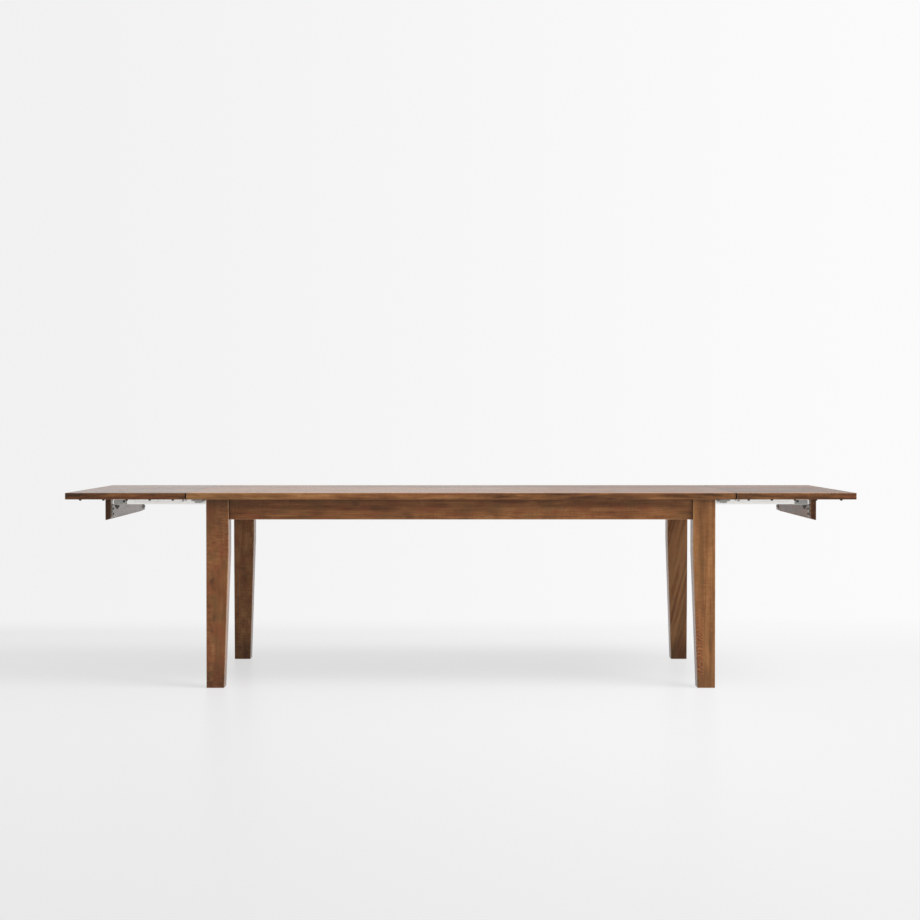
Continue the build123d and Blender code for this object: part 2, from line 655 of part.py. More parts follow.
side_pieces = {"cross_rail": cross_rail(), "end_apron": end_apron(), "leaf": leaf()}
side_groups = {
    "leaf_dowels": dowels(),
    "leaf_bumpers": bumpers(),
    "leaf_latch_studs": latch_studs(),
}
bracket_fasteners = stud_set()
bracket_fasteners += [pan_screw(*screw) for screw in CHEEK_SCREWS + BRACKET_SCREWS]
side_groups["bracket_screws"] = bracket_fasteners + [
    mirror(fastener, about=Plane.XZ) for fastener in bracket_fasteners
]
for side in SIDES:
    for name, piece in side_pieces.items():
        nodes[f"{side}_{name}"] = at_end(piece, side)
    for name, pieces in side_groups.items():
        nodes[f"{side}_{name}"] = Compound(children=[at_end(piece, side) for piece in pieces])

frame_groups = {
    "leg_bolts": (bolt_shapes(BOLT_DIAMETER, BOLT_IN_LEG), CORNERS),
    "leg_bolt_nuts": (leg_nuts(), CORNERS),
    "runner_screws": ([pan_screw(*screw) for screw in RUNNER_SCREWS], CORNERS),
    "latch_pivots": (
        [latch_pivot()] + [countersunk_screw(*screw) for screw in PLATE_SCREWS],
        CORNERS,
    ),
    "top_clips": (clips(), LONG_SIDES.values()),
    "top_clip_screws": (
        [pan_screw(*screw) for screw in CLIP_APRON_SCREWS + CLIP_TOP_SCREWS],
        LONG_SIDES.values(),
    ),
}
for name, (pieces, corners) in frame_groups.items():
    nodes[name] = Compound(
        children=[at_corner(piece, corner) for corner in corners for piece in pieces]
    )

os.makedirs("parts", exist_ok=True)
for name, shape in nodes.items():
    export_step(shape, f"parts/{name}.step")
print(len(nodes), "nodes")
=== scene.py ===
import math

import bpy
from mathutils import Matrix, Vector


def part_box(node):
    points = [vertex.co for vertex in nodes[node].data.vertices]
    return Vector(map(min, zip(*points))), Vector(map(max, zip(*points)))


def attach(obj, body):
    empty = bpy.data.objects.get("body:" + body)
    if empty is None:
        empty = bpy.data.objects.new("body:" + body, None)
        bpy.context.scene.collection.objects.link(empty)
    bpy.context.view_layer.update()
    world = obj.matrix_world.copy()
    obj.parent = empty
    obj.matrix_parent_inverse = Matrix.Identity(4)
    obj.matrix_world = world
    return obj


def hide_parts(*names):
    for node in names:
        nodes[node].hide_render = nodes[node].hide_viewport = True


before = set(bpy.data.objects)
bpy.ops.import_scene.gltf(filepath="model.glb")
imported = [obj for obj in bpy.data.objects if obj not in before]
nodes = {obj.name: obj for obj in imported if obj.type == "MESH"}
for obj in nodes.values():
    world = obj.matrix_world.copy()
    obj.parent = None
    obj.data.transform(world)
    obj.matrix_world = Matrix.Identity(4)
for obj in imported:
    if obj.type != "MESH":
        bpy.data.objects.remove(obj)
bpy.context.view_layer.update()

# Legs: four square posts of solid hardwood, sawn with the grain upright and tapered on the two faces
# that look inward. They are sanded, stained a warm brown and sprayed with a thin satin lacquer.
# Each is drawn against the ends of the aprons by two bolts.

LEG_OUT = (0.965, 0.4765)
LEG_SIZE = 0.085
FOOT_SIZE = 0.067
FOOT_BOTTOM = 0.0015
TAPER_START = 0.518
LEG_TOP = 0.717
BROWN_STAIN = [(0.0, (40, 22, 12)), (0.28, (83, 50, 27)), (0.5, (125, 81, 46)),
               (0.72, (155, 106, 64)), (1.0, (186, 136, 88))]
RED_BROWN = (132, 70, 44)
OLIVE_BROWN = (104, 78, 44)
# The dark brown of pores and end grain, which also lays the painted shade.
PORE_AND_SHADE_BROWN = (38, 21, 13)
# The pale colour of the arrises: rubbed wear, made paler as a painted highlight.
RUBBED_EDGE_AND_HIGHLIGHT = (206, 164, 122)
RAY_TAN = (186, 124, 74)
RINGS_PER_METRE = 190
RING_SWAY = 0.11
BOARD_TONES = 0.3
BOARD_SPREAD = 0.45
SEAM_WIDTHS = (0.0003, 0.0011)
JOINT_WIDTHS = (0.0008, 0.0034)
RUBBED_AND_HIGHLIT_WIDTHS = (0.0008, 0.0038)
PATCH_LIMITS = (0.48, 0.68)
LACQUER_SHINE = 0.22
GRAIN_RELIEF = 0.0004
RAY_COLUMN_X = 0.905
RAY_BOW_X = 0.904
# Heights and shares of the painted shade on the legs under the main panel, and where the legs darken near the
# floor.
UNDER_TOP_SHADE_LEVELS = ((0.5, 0.65, 0.28), (0.66, 0.71, 0.3))
FOOT_DARKENING_LEVELS = (0.03, 0.13)


def paint(red, green, blue):
    """A colour as a painter's chart gives it, from 0 to 255, in the renderer's own scale."""
    shares = [value / 255 for value in (red, green, blue)]
    return tuple(s / 12.92 if s <= 0.04045 else ((s + 0.055) / 1.055) ** 2.4 for s in shares)


class Wire:
    """A socket of a material, so that shader maths can be written as an expression."""

    def __init__(self, tree, socket=None):
        self.tree, self.socket = tree, socket

    def node(self, kind, settings, sockets, output=0):
        """Adds a node: its settings first, then the values or links of its sockets."""
        made = self.tree.nodes.new("ShaderNode" + kind)
        for name, value in settings.items():
            if name == "stops":
                stops = made.color_ramp.elements
                while len(stops) < len(value):
                    stops.new(1)
                for stop, (place, colour) in zip(stops, value):
                    stop.position, stop.color = place, (*paint(*colour), 1)
            else:
                setattr(made, name, value)
        for name, value in sockets.items():
            if isinstance(value, Wire):
                self.tree.links.new(value.socket, made.inputs[name])
            else:
                made.inputs[name].default_value = value
        return Wire(self.tree, made.outputs[output])

    def math(self, operation, *values):
        """What a Math node gives for these values."""
        return self.node("Math", {"operation": operation}, dict(enumerate(values)))

    def __add__(self, other):
        return self.math("ADD", self, other)

    def __sub__(self, other):
        return self.math("SUBTRACT", self, other)

    def __rsub__(self, other):
        return self.math("SUBTRACT", other, self)

    def __mul__(self, other):
        return self.math("MULTIPLY", self, other)

    def __truediv__(self, other):
        return self.math("DIVIDE", self, other)

    def __rtruediv__(self, other):
        return self.math("DIVIDE", other, self)

    def __abs__(self):
        return self.math("ABSOLUTE", self)

    __radd__ = __add__
    __rmul__ = __mul__

    def least(self, other):
        return self.math("MINIMUM", self, other)

    def most(self, other):
        return self.math("MAXIMUM", self, other)

    def step(self, low, high):
        """0 below the low limit and 1 above the high one, with a smooth rise between them."""
        return self.node("MapRange", {"interpolation_type": "SMOOTHSTEP"},
                         {"Value": self, "From Min": low, "From Max": high})

    def parts(self):
        """The three numbers of a vector or a colour."""
        return [self.node("SeparateXYZ", {}, {0: self}, part) for part in range(3)]

    def vector(self, *values):
        """A vector of three numbers."""
        return self.node("CombineXYZ", {}, dict(enumerate(values)))

    def size(self):
        """The length of a vector."""
        return self.node("VectorMath", {"operation": "LENGTH"}, {0: self}, 1)

    def cloud(self, scale=1.0, detail=2.0, roughness=0.5, output="Fac"):
        """Soft noise read at this vector."""
        return self.node("TexNoise", {}, {"Vector": self, "Scale": scale, "Detail": detail,
                                          "Roughness": roughness}, output)

    def over(self, colour, share):
        """This colour with a share of another one laid over it."""
        return self.node("Mix", {"data_type": "RGBA"}, {0: share, 6: self, 7: (*paint(*colour), 1)}, 2)


def finish_for(name):
    """A new material: its first wire and its shader."""
    material = bpy.data.materials.new(name)
    material.use_nodes = True
    tree = material.node_tree
    return material, Wire(tree), tree.nodes["Principled BSDF"]


def connect(shader, **wires):
    """Plugs wires into the shader's sockets, whose names have a low line for each blank."""
    for name, wire in wires.items():
        wire.tree.links.new(wire.socket, shader.inputs[name.replace("_", " ")])


def bumped(height, strength, distance):
    """The normal of a surface with this relief."""
    return height.node("Bump", {}, {"Height": height, "Strength": strength, "Distance": distance})


def edge_distance(x, y, z, low, high):
    """How far a point on a box's surface is from the nearest edge of the box."""
    from_x, from_y, from_z = [
        (value - bottom).least(top - value) for value, bottom, top in zip((x, y, z), low, high)
    ]
    return from_x.least(from_y).most(from_x.most(from_y).least(from_z))


def untapered(x, y, z):
    """A point of a leg, moved to where it would be if the leg were straight."""
    size = FOOT_SIZE + (LEG_SIZE - FOOT_SIZE) * ((z - FOOT_BOTTOM) / (TAPER_START - FOOT_BOTTOM)).least(1)
    stretch = LEG_SIZE / size
    return LEG_OUT[0] - (LEG_OUT[0] - abs(x)) * stretch, LEG_OUT[1] - (LEG_OUT[1] - abs(y)) * stretch, z


def leg_edges(x, y, z):
    """The distance to the nearest edge of a leg, at whichever corner it stands."""
    low = (LEG_OUT[0] - LEG_SIZE, LEG_OUT[1] - LEG_SIZE, FOOT_BOTTOM)
    return edge_distance(*untapered(x, y, z), low, (*LEG_OUT, LEG_TOP))


def solid_wood(name, grain, heart, shift, edges, stain=BROWN_STAIN, boards=None, tone=0.0, painted_light_slope=0.0,
               gloss=0.25, stripes=0.4, bands=0.8, fibres=0.35, blotches=1.0, curl=0.2, mottle=0.0,
               tints=1.0, red=0.0, slope=0.0, rubbing_and_highlight=0.4, end_stain=0.4, dulling=0.0, overlay=None,
               joints=()):
    """Wood cut from a log: growth rings round the heart, streaks along the grain, pores and stain.

    The grain names the axis that it follows, slope is how far it runs out of the piece, heart is where the
    middle of the log was, and shift slides the figure along. Edges gives the distance to the nearest edge,
    and rubbing is how pale the edges are, from wear and a painted highlight. Stain lists the colours from
    dark to light. Tone makes the piece lighter, lean lighter per metre along the grain as painted light, red
    redder and end_stain its end grain darker. Stripes, bands, fibres, blotches and curl are how strong the
    long streaks, the wide ones, the fine ones, the cloudy figure and the marks across the grain are. Tints is
    how strong the red, olive and dark patches are, and mottle breaks them up along the grain. Boards is the
    width of the boards that a panel is glued up from.
    Gloss is the lacquer's roughness, and dulling is what it gains to the right. Overlay lays something more
    over the wood, and joints are the places along X where a joint gets a dark line, of dirt and painted
    shade.
    """
    material, start, shader = finish_for(name)
    place = start.node("TexCoord", {}, {}, "Object")
    x, y, z = place.parts()
    along, across, deep = {"X": (x, y, z), "Y": (y, x, z), "Z": (z, x, y)}[grain]
    facing = start.node("NewGeometry", {}, {}, "True Normal").parts()
    end_grain = abs(facing["XYZ".index(grain)]).step(0.6, 0.9)
    underneath = (0 - facing[2]).step(0.6, 0.9)
    across = across + slope * along
    # Painted light: the piece gets lighter or darker along its grain, as light falls on it.
    tone = tone + painted_light_slope * along
    along = along + shift
    heart_across, heart_deep = heart
    if boards:
        row = across / boards + shift
        row_sockets = {"W": row, "Scale": 1.0, "Randomness": BOARD_SPREAD}
        pick = start.node("TexVoronoi", {"voronoi_dimensions": "1D"}, row_sockets, "Color")
        pick_tone, pick_heart, pick_shift = pick.parts()
        seam = start.node("TexVoronoi", {"voronoi_dimensions": "1D", "feature": "DISTANCE_TO_EDGE"},
                          row_sockets) * boards
        along = along + pick_shift * 9
        across = across + pick_heart * 0.35
        tone = tone + (pick_tone - 0.5) * BOARD_TONES

    def grained(lengthwise, crosswise, **look):
        """Noise that is drawn out along the grain."""
        return start.vector(along * lengthwise, across * crosswise, deep * crosswise).cloud(**look)

    sway = grained(0.8, 2.4, detail=2)
    ripple = grained(7, 34, detail=3)
    from_heart = start.vector(across - heart_across + (sway - 0.5) * RING_SWAY, deep - heart_deep, 0)
    rings = from_heart.size() * RINGS_PER_METRE + ripple * 1.5
    year = rings.math("FRACT", rings)
    late = year.step(0.25, 0.92) * (1 - year.step(0.92, 1.0))
    streak = grained(0.9, 60, detail=5, roughness=0.6)
    fibre = grained(3, 330, detail=3, roughness=0.6)
    flame = grained(4.5, 55, detail=3, roughness=0.55)
    figure = grained(13, 30, detail=4, roughness=0.6)
    patches = grained(2.2, 8, detail=2)
    marks = grained(140, 32, detail=3, roughness=0.6)
    broad = grained(0.55, 15, detail=3)
    red_hue, olive_hue, dark_hue = grained(2.4 + 15 * mottle, 24, detail=3, output="Color").parts()
    pores = grained(40, 850, detail=1).step(0.6, 0.72)
    eye_places = start.vector(along * 1.4, across * 7, deep * 7)
    eyes = start.node("TexVoronoi", {}, {"Vector": eye_places, "Scale": 1.0})
    knots = 1 - eyes.step(0.02, 0.06)
    grain_light = ((streak - 0.5) * stripes + (broad - 0.5) * bands
                   + ((fibre - 0.5) - (late - 0.3) * 0.28) * fibres
                   + ((flame - 0.5) * 0.9 + (figure - 0.5) * 0.55) * blotches
                   + (marks - 0.5) * patches.step(0.4, 0.6) * curl)
    wood = start.node("ValToRGB", {"stops": stain}, {"Fac": 0.5 + tone + grain_light})
    wood = wood.over(RED_BROWN, red + red_hue.step(*PATCH_LIMITS) * (0.45 * tints))
    wood = wood.over(OLIVE_BROWN, olive_hue.step(*PATCH_LIMITS) * (0.45 * tints))
    wood = wood.over(PORE_AND_SHADE_BROWN, dark_hue.step(0.56, 0.74) * flame.step(0.4, 0.6) * (0.55 * tints))
    wood = wood.over(PORE_AND_SHADE_BROWN, (pores * 0.35).most(knots * 0.7))
    if overlay:
        wood = overlay(start, wood, x, y, z)
    wood = wood.over(PORE_AND_SHADE_BROWN, end_grain * end_stain)
    # Pale arrises: wear, with a painted highlight along the edges.
    rub = start.vector(x * 38, y * 38, z * 38).cloud(detail=4, roughness=0.7)
    worn_and_highlit = (1 - edges(x, y, z).step(*RUBBED_AND_HIGHLIT_WIDTHS)) * (0.5 + 0.5 * rub.step(0.42, 0.62))
    wood = wood.over(RUBBED_EDGE_AND_HIGHLIGHT, worn_and_highlit * rubbing_and_highlight)
    relief = 0.5 * late - pores * 1.2 + (figure - 0.5) * 1.2
    if boards:
        line = 1 - seam.step(*SEAM_WIDTHS)
        wood = wood.over(PORE_AND_SHADE_BROWN, line * 0.5)
        relief = relief - line * 1.5
    for joint in joints:
        # A dark line at each joint: dirt in it, and painted shade where the parts meet.
        wood = wood.over(PORE_AND_SHADE_BROWN, (1 - abs(x - joint).step(*JOINT_WIDTHS)) * 0.85)
    smear = start.vector(x * 6, y * 6, z * 6).cloud(detail=5, roughness=0.65)
    roughness = (gloss + pores * 0.14 + (smear - 0.5) * 0.14 + (figure - 0.5) * 0.1 + underneath * 0.2
                 + end_grain * 0.1 - worn_and_highlit * 0.05 + x.step(0.0, 0.5) * dulling)
    connect(shader, Base_Color=wood, Roughness=roughness, Normal=bumped(relief, 0.18, GRAIN_RELIEF))
    shader.inputs["Specular IOR Level"].default_value = LACQUER_SHINE
    return material


def wear(piece, material):
    """Gives a piece its material."""
    for slot in nodes[piece].material_slots:
        slot.material = material


def leg_rays(start, wood, x, y, z):
    """The wood with flecks of its rays near the foot of the right front leg, curved across the grain."""
    bend = start.vector(x * 45, y * 45, z * 25).cloud(detail=2)
    bow = z * 70 + bend * 3.5 + abs(x - RAY_BOW_X) * 30
    bow = bow.math("FRACT", bow)
    broken = start.vector(x * 110, y * 110, z * 70).cloud(detail=1).step(0.4, 0.52)
    column = (1 - abs(x - RAY_COLUMN_X).step(0.007, 0.02)) * z.step(0.03, 0.07) * (1 - z.step(0.2, 0.36))
    pale = bow.step(0.05, 0.2) * (1 - bow.step(0.25, 0.4))
    dark = bow.step(0.45, 0.6) * (1 - bow.step(0.75, 0.95))
    wood = wood.over(RED_BROWN, column * 0.35)
    return wood.over(RAY_TAN, pale * broken * column * 0.55).over(PORE_AND_SHADE_BROWN, dark * broken * column * 0.4)


def leg_shade_and_foot_darkening(high, first=None):
    """A darker layer on a leg: painted shade under the main panel, and a darkening near the floor."""
    def layer(start, wood, x, y, z):
        if first:
            wood = first(start, wood, x, y, z)
        patchy = start.vector(x * 14, y * 14, z * 5).cloud(detail=3)
        wide, narrow = [z.step(low, top) * share for low, top, share in UNDER_TOP_SHADE_LEVELS]
        under_top_shade = (wide + narrow) * high
        near_floor = (1 - z.step(*FOOT_DARKENING_LEVELS)) * 0.36
        return wood.over(PORE_AND_SHADE_BROWN, (under_top_shade + near_floor) * (0.75 + 0.5 * patchy))
    return layer


# Each leg's overlay lays painted shade under the main panel, stronger on the left legs, away from the lamp.
LEG_CUTS = {
    # The front left leg is lighter towards its top by its lean, which is painted light.
    "front_left": {"heart": (-0.86, -0.40), "shift": 0.3, "tone": 0.10, "painted_light_slope": 0.05, "stripes": 0.15,
                   "bands": 0.3, "fibres": 0.05, "blotches": 0.7, "curl": 0.9, "mottle": 1.0, "red": 0.15,
                   "overlay": leg_shade_and_foot_darkening(1.0)},
    "front_right": {"heart": (0.99, -0.53), "shift": 2.1, "tone": 0.12, "stripes": 0.3, "bands": 0.5,
                    "fibres": 0.2, "blotches": 0.7, "curl": 0.3, "mottle": 0.2, "tints": 0.6,
                    "overlay": leg_shade_and_foot_darkening(0.55, leg_rays)},
    "back_left": {"heart": (-1.02, 0.37), "shift": 4.4, "tone": 0.28, "stripes": 0.3, "bands": 0.4,
                  "fibres": 0.05, "blotches": 0.8, "curl": 0.7, "mottle": 0.8, "red": 0.1,
                  "overlay": leg_shade_and_foot_darkening(0.8)},
    "back_right": {"heart": (0.84, 0.30), "shift": 6.2, "tone": 0.38, "slope": -0.25, "stripes": 1.9,
                   "bands": 0.8, "blotches": 0.4, "tints": 0.8, "red": 0.15, "overlay": leg_shade_and_foot_darkening(0.7)},
}
for corner, cut in LEG_CUTS.items():
    wear(f"{corner}_leg", solid_wood(f"{corner}_leg_wood", "Z", edges=leg_edges, **cut))

# Foot glides: turned discs of dark nylon, pressed on a nail under each foot so that the table can be
# pushed over a floor without splintering the legs.

GLIDE_GREY = (62, 57, 53)
GLIDE_PALE = (74, 68, 63)
SCUFF_GREY = (120, 112, 104)

glide_nylon, start, shader = finish_for("glide_nylon")
place = start.node("TexCoord", {}, {}, "Object")
scuffs = place.cloud(scale=260, detail=4, roughness=0.7)
x, y, z = place.parts()
rubbed = (1 - z.step(0.0, 0.0008)) * scuffs.step(0.45, 0.7)
nylon = start.node("ValToRGB", {"stops": [(0.0, GLIDE_GREY), (1.0, GLIDE_PALE)]}, {"Fac": scuffs})
connect(shader, Base_Color=nylon.over(SCUFF_GREY, rubbed * 0.7), Roughness=0.48 + rubbed * 0.25,
        Normal=bumped(scuffs, 0.15, 0.0003))
for corner in LEG_CUTS:
    wear(f"{corner}_foot_glide", glide_nylon)

# Long aprons: two boards of the same stained hardwood, set back a little from the legs' faces.
# They run lengthwise under the main panel and are held between the legs by the corner blocks.

APRON_END = 0.88
# Heights over which the aprons get painted shade under the main panel.
UNDER_PANEL_SHADE_LEVELS = (0.672, 0.722)


def box_edges(node):
    """The distance to the nearest edge, for a piece that fills its box."""
    low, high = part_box(node)
    return lambda x, y, z: edge_distance(x, y, z, low, high)


def under_panel_shade(start, wood, x, y, z):
    """The wood with painted shade on its upper part, in the corner under the main panel."""
    patchy = start.vector(x * 5, y * 20, z * 20).cloud(detail=3)
    return wood.over(PORE_AND_SHADE_BROWN, z.step(*UNDER_PANEL_SHADE_LEVELS) * (0.2 + 0.24 * patchy))


APRON_CUTS = {"front_apron": ((-0.52, 0.61), 1.7, 0.08), "back_apron": ((0.50, 0.75), 5.3, 0.06)}
# The aprons are lighter towards the right by their lean, painted light from the lamp's side.
for apron, (heart, shift, tone) in APRON_CUTS.items():
    wear(apron, solid_wood(f"{apron}_wood", "X", heart, shift, box_edges(apron), tone=tone, painted_light_slope=0.09,
                           stripes=0.25, bands=0.5, curl=0.4, mottle=0.5, red=0.15,
                           overlay=under_panel_shade, joints=(-APRON_END, APRON_END)))

# Rails and blocks inside the frame: plain planed hardwood, left without stain because nobody sees it.
# The cross rails and the centre rail are doweled in, and the corner and runner blocks are glued and screwed.

BARE_WOOD = [(0.0, (138, 103, 70)), (0.35, (170, 133, 95)), (0.6, (189, 153, 113)), (1.0, (208, 176, 137))]
RAIL_CUTS = {"left_cross_rail": "Y", "right_cross_rail": "Y", "center_rail": "Y"}
for corner in LEG_CUTS:
    RAIL_CUTS[f"{corner}_corner_block"] = "X"
    RAIL_CUTS[f"{corner}_runner_block"] = "X"
for count, (piece, grain) in enumerate(RAIL_CUTS.items()):
    low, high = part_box(piece)
    middle = (low + high) / 2
    across = middle.y if grain == "X" else middle.x
    wear(piece, solid_wood(f"{piece}_wood", grain, (across + 0.05, middle.z - 0.06), 1.9 * count,
                           box_edges(piece), stain=BARE_WOOD, tints=0.12, gloss=0.6, end_stain=0.15))

# Leg bolts and their flange nuts: steel bolts that are screwed into the legs, with a machine thread on
# the free end, and pressed hexagon nuts that pull the legs against the corner blocks. All are zinc plated.

ZINC_PALE = (214, 215, 213)
ZINC_DULL = (160, 161, 158)
ZINC_STRAW = (198, 190, 168)
BOLT_RADIUS = 0.004
BOLT_LENGTH = 0.102
BOLT_IN_LEG = 0.045
BOLT_LEVELS = (0.654, 0.676)
LEG_INNER_CORNER = (0.88, 0.3915)
NUT_FROM_LEG = 0.0417193
THREAD_PITCH = 0.00125
THREAD_DEPTH = 0.0007
THREADED_END = 0.026
NUT_ACROSS_FLATS = 0.013
NUT_HEIGHT = 0.008
FLANGE_RADIUS = 0.0085
FLANGE_HEIGHT = 0.002
FLANGE_RIM = 0.0006
NUT_ROUNDING = 0.0004
BORE_CHAMFER = 0.0005
BOLT_CHAMFER = 0.001
RINGS_PER_THREAD = 4
AROUND_THREAD = 20
AROUND_NUT = 48
SHARP_ANGLE = 32


def plated(name, roughness, dull=ZINC_DULL, pale=ZINC_PALE):
    """Zinc-plated steel: small crystals, a faint straw tint and rubbed places."""
    material, start, shader = finish_for(name)
    place = start.node("TexCoord", {}, {}, "Object")
    crystal = start.node("TexVoronoi", {}, {"Vector": place, "Scale": 420}, "Color").parts()[0]
    stain = place.cloud(scale=55, detail=4, roughness=0.6)
    rub = place.cloud(scale=900, detail=2)
    zinc = start.node("ValToRGB", {"stops": [(0.0, dull), (1.0, pale)]},
                      {"Fac": 0.4 + crystal * 0.4 + (stain - 0.5) * 0.6})
    connect(shader, Base_Color=zinc.over(ZINC_STRAW, stain.step(0.5, 0.75) * 0.35),
            Roughness=roughness + (stain - 0.5) * 0.22 + (rub - 0.5) * 0.12,
            Normal=bumped(crystal * 0.3 + rub, 0.08, 0.0002))
    shader.inputs["Metallic"].default_value = 1
    return material


def lathe(rings, looped=False):
    """Points and faces of rings of points, one above the other, closed by caps or on themselves."""
    count = len(rings[0])
    points = [point for ring in rings for point in ring]
    faces = []
    spans = range(len(rings)) if looped else range(len(rings) - 1)
    for lower in spans:
        upper = (lower + 1) % len(rings)
        for step in range(count):
            following = (step + 1) % count
            faces.append((lower * count + step, lower * count + following,
                          upper * count + following, upper * count + step))
    if not looped:
        faces.append(tuple(reversed(range(count))))
        faces.append(tuple(range(len(points) - count, len(points))))
    return points, faces


def turned(radius_at, heights, count):
    """Rings of points round the Z axis, with the radius for each height and each share of a turn."""
    rings = []
    for height in heights:
        shares = [step / count for step in range(count)]
        rings.append([(radius_at(height, share) * math.cos(2 * math.pi * share),
                       radius_at(height, share) * math.sin(2 * math.pi * share), height) for share in shares])
    return rings


def threaded_rod(length, threaded):
    """A bolt's bar up the Z axis, with a rolled thread and a chamfer on its upper end."""

    def radius_at(height, share):
        turn = (height / THREAD_PITCH - share) % 1
        groove = THREAD_DEPTH * abs(2 * turn - 1) if height > length - threaded else 0
        return min(BOLT_RADIUS - groove, BOLT_RADIUS - BOLT_CHAMFER + length - height)

    heights = [0.0]
    steps = round(threaded / THREAD_PITCH * RINGS_PER_THREAD)
    heights += [length - threaded + threaded * step / steps for step in range(steps + 1)]
    return lathe(turned(radius_at, heights, AROUND_THREAD))


def flange_nut():
    """A nut up the Z axis from its seat: a sloped flange, six flats with chamfered corners and a bore."""
    flat = NUT_ACROSS_FLATS / 2
    rings = []
    for share in range(AROUND_NUT):
        turn = 2 * math.pi * share / AROUND_NUT
        corner = flat / math.cos((turn + math.pi / 6) % (math.pi / 3) - math.pi / 6)
        wall_top = NUT_HEIGHT - NUT_ROUNDING - (corner - flat) * 0.6
        section = [(BOLT_RADIUS, 0.0), (FLANGE_RADIUS, 0.0), (FLANGE_RADIUS, FLANGE_RIM),
                   (corner + 0.0003, FLANGE_HEIGHT), (corner, FLANGE_HEIGHT + NUT_ROUNDING),
                   (corner, wall_top), (flat * 0.94, NUT_HEIGHT),
                   (BOLT_RADIUS + BORE_CHAMFER, NUT_HEIGHT), (BOLT_RADIUS, NUT_HEIGHT - BORE_CHAMFER)]
        rings.append([(radius * math.cos(turn), radius * math.sin(turn), height)
                      for radius, height in section])
    points, faces = lathe(rings, looped=True)
    return points, [tuple(reversed(face)) for face in faces]


def placed(shape, seat, direction, turn=0.0):
    """A shape drawn up the Z axis, moved to a seat and turned to a direction."""
    points, faces = shape
    tilt = Vector(direction).to_track_quat("Z", "Y").to_matrix().to_4x4()
    move = Matrix.Translation(seat) @ tilt @ Matrix.Rotation(turn, 4, "Z")
    return [move @ Vector(point) for point in points], faces


def set_in(name, shapes, body, node, material):
    """Makes one steel piece of several shapes, which rides on a body in place of a plain solid."""
    points, faces = [], []
    for shape_points, shape_faces in shapes:
        first = len(points)
        points += shape_points
        faces += [tuple(first + index for index in face) for face in shape_faces]
    mesh = bpy.data.meshes.new(name)
    mesh.from_pydata(points, [], faces)
    mesh.shade_smooth()
    mesh.set_sharp_from_angle(angle=math.radians(SHARP_ANGLE))
    mesh.materials.append(material)
    piece = bpy.data.objects.new(name, mesh)
    bpy.context.scene.collection.objects.link(piece)
    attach(piece, body)
    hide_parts(node)


def corner_signs(corner):
    """The way out along X and Y at a corner."""
    row, side = corner.split("_")
    return (1 if side == "right" else -1), (1 if row == "back" else -1)


zinc_steel = plated("zinc_steel", 0.34)
leg_bolts, leg_nuts = [], []
for corner in LEG_CUTS:
    out_x, out_y = corner_signs(corner)
    inward = Vector((-out_x, -out_y, 0)).normalized()
    for count, level in enumerate(BOLT_LEVELS):
        mouth = Vector((out_x * LEG_INNER_CORNER[0], out_y * LEG_INNER_CORNER[1], level))
        bar = threaded_rod(BOLT_LENGTH, THREADED_END)
        leg_bolts.append(placed(bar, mouth - inward * BOLT_IN_LEG, inward, 0.9 * count))
        leg_nuts.append(placed(flange_nut(), mouth + inward * NUT_FROM_LEG, inward, 0.4 + 1.3 * count))
set_in("threaded_leg_bolts", leg_bolts, "frame", "leg_bolts", zinc_steel)
set_in("flanged_leg_nuts", leg_nuts, "frame", "leg_bolt_nuts", zinc_steel)

# Main panel: boards of the stained hardwood glued edge to edge with the grain lengthwise, planed to one
# thickness, with softened edges and the same satin lacquer. It is the fixed middle of the table top.

TOP_BOARD_WIDTH = 0.13
PANEL_END = 1.0415


def upper_edges(node):
    """The distance to a panel's nearest edge, leaving out those underneath, which nothing rubs and where no
    painted highlight is laid.
    """
    low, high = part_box(node)
    return lambda x, y, z: edge_distance(x, y, z, (low.x, low.y, low.z - 1), high)


# The panel is darker towards the right by its lean, which is painted shade.
wear("main_top", solid_wood("main_top_wood", "X", (0.1, 0.66), 9.85, upper_edges("main_top"), tone=-0.08,
                            painted_light_slope=-0.13, boards=TOP_BOARD_WIDTH, gloss=0.26, dulling=0.06, tints=0.6,
                            rubbing_and_highlight=0.2, joints=(-PANEL_END, PANEL_END)))

# Clips and their screws: bent steel angles that hold the main panel down on the long aprons, each with
# two short pan-head wood screws.

CLIP_PLACES = (-0.33, -0.11, 0.11, 0.33)
CLIP_APRON_SEAT = (0.4305, 0.703)
CLIP_TOP_SEAT = (0.4185, 0.715)
SCREW_HEAD = [(0.0021, 0.0), (0.0045, 0.0), (0.0045, 0.0008), (0.0042, 0.0017), (0.0034, 0.0024),
              (0.0022, 0.0028), (0.0009, 0.003)]
SCREW_SHANK = [(0.0003, -0.0125), (0.0017, -0.0095), (0.0021, -0.008)]
AROUND_HEAD = 28
RECESS_HALF_WIDTH = 0.00055
RECESS_HALF_LENGTH = 0.0024
RECESS_DEPTH = 0.0018
RECESS_OVER_HEAD = 0.0004
RECESS_TAPER = (0.55, 1.08)
DOWN = (0, 0, -1)


def carved(body, cutter):
    """The points and faces of one shape with another cut out of it."""
    made = []
    for points, faces in (body, cutter):
        mesh = bpy.data.meshes.new("rough")
        mesh.from_pydata(points, [], faces)
        made.append(bpy.data.objects.new("rough", mesh))
        bpy.context.scene.collection.objects.link(made[-1])
    cut = made[0].modifiers.new("recess", "BOOLEAN")
    cut.solver, cut.object = "EXACT", made[1]
    bpy.context.view_layer.update()
    finished = made[0].evaluated_get(bpy.context.evaluated_depsgraph_get()).to_mesh()
    points = [tuple(vertex.co) for vertex in finished.vertices]
    faces = [tuple(face.vertices) for face in finished.polygons]
    for rough in made:
        bpy.data.meshes.remove(rough.data)
    return points, faces


